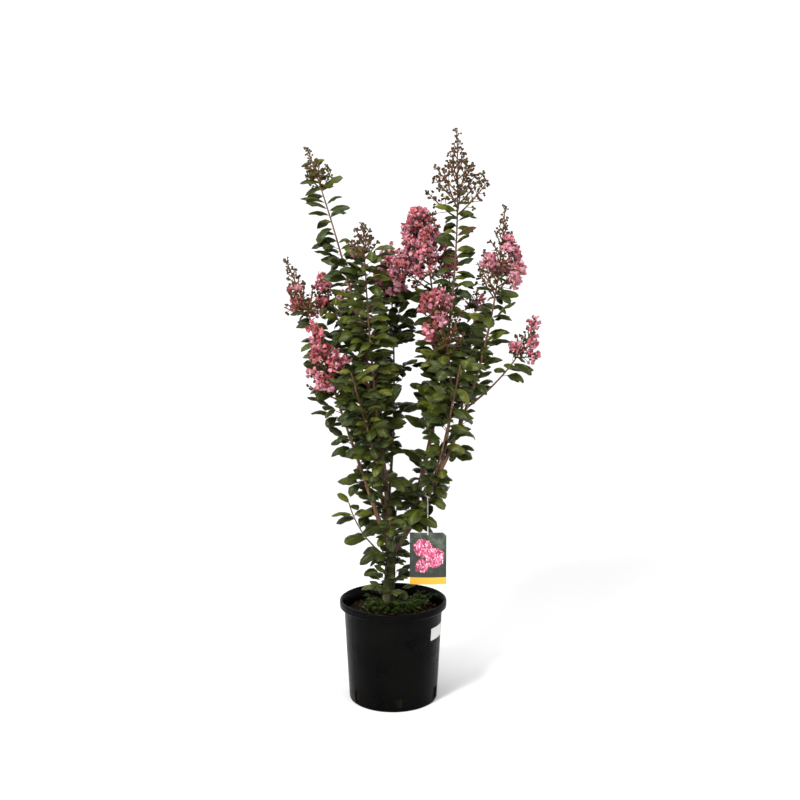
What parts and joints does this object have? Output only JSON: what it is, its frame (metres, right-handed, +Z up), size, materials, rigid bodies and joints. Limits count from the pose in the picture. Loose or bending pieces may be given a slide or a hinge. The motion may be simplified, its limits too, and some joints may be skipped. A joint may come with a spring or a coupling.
{
  "type": "crape myrtle in a nursery pot",
  "caption": "Young shrub with several upright stems from a short trunk, opposite leaves, pink flower heads and bud heads, in a round black nursery pot with a hanging card tag.",
  "frame": {"origin": "centre of the pot's flat underside, which rests on the ground", "axes": "+Z up along the pot's axis; the pictured side faces -Y, and +X is to its right"},
  "size_m": [0.701, 0.5318, 1.5728],
  "materials": {
    "pot_plastic": "satin black, lightly scuffed",
    "potting_mix": "coarse shredded bark mix, matt",
    "white_label": "matt white paper, blank",
    "bark": "smooth greenish grey bark with pale flaked strips",
    "stem_skin": "reddish brown young bark, pinkish tan where lit",
    "foliage": "glossy mid green leaves on thin reddish twigs",
    "pink_blossom": "crinkled pink petals with yellow stamens",
    "flower_buds": "round brown and maroon buds on thin branches",
    "card_print": "printed plastic card, plain flower picture and amber band",
    "strap_plastic": "thin pale strap"
  },
  "bodies": {
    "root": {"pot": "pot_plastic", "potting_mix": "potting_mix", "pot_sticker": "white_label", "trunk": "bark", "bough_tall_left": "stem_skin", "foliage_tall_left": "foliage", "flower_head_tall_left": "flower_buds", "bough_left_front": "stem_skin", "foliage_left_front": "foliage", "flower_head_left_front": "pink_blossom", "bough_right": "stem_skin", "foliage_right": "foliage", "flower_head_right": "pink_blossom", "bough_tall_right": "stem_skin", "foliage_tall_right": "foliage", "flower_head_tall_right": "flower_buds", "bough_inner_left": "stem_skin", "foliage_inner_left": "foliage", "flower_head_inner_left": "flower_buds", "bough_centre": "stem_skin", "foliage_centre": "foliage", "flower_head_centre": "pink_blossom", "bough_centre_front": "stem_skin", "foliage_centre_front": "foliage", "flower_head_centre_front": "pink_blossom", "foliage_left_side": "foliage", "flower_head_left_side": "flower_buds", "foliage_left_back": "foliage", "flower_head_left_back": "pink_blossom", "foliage_right_back": "foliage", "flower_head_right_back": "pink_blossom", "foliage_right_side": "foliage", "flower_head_right_side": "pink_blossom", "bough_back_left": "stem_skin", "foliage_back_left": "foliage", "flower_head_back_left": "pink_blossom", "bough_back_right": "stem_skin", "foliage_back_right": "foliage", "flower_head_back_right": "pink_blossom", "bough_front_left": "stem_skin", "foliage_front_left": "foliage", "bough_front_right": "stem_skin", "foliage_front_right": "foliage", "foliage_low_left": "foliage", "foliage_low_front": "foliage", "foliage_low_right": "foliage", "foliage_low_back": "foliage", "bough_centre_back": "stem_skin", "foliage_centre_back": "foliage", "flower_head_centre_back": "pink_blossom", "basal_shoot_left": "foliage", "basal_shoot_middle": "foliage", "basal_shoot_right": "foliage", "tag_strap": "strap_plastic", "tag_card": "card_print"}
  },
  "joints": []
}
